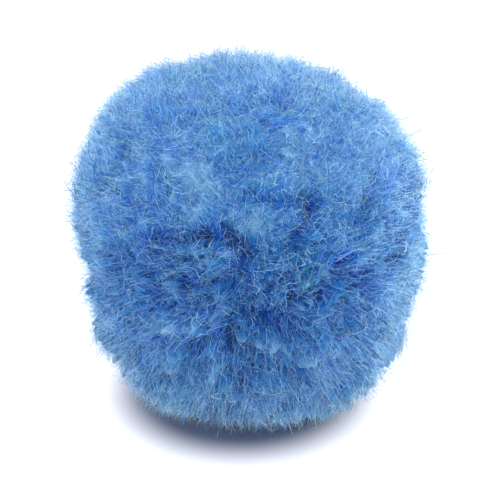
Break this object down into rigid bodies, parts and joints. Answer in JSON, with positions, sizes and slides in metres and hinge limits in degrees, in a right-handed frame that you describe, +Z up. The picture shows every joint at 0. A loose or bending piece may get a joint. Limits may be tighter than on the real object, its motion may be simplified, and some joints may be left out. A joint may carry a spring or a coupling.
{
  "type": "plush pom pom",
  "caption": "Soft round ball of cut yarn, bound at its middle and brushed out into dense fluffy tufts, with a slightly fuller crown and a small flat spot that it rests on.",
  "frame": {"origin": "middle of the ball's outline on the surface that it rests on, under its small flat spot", "axes": "+Z up through the crown, -Y towards the side with the soft parting, +X to the right of that side"},
  "size_m": [0.0356, 0.035, 0.0359],
  "materials": {
    "pile": "matt brushed acrylic pile, mid sky blue, paler at the tips and deeper between the tufts"
  },
  "bodies": {
    "root": {"yarn_ball": "pile"}
  },
  "joints": []
}
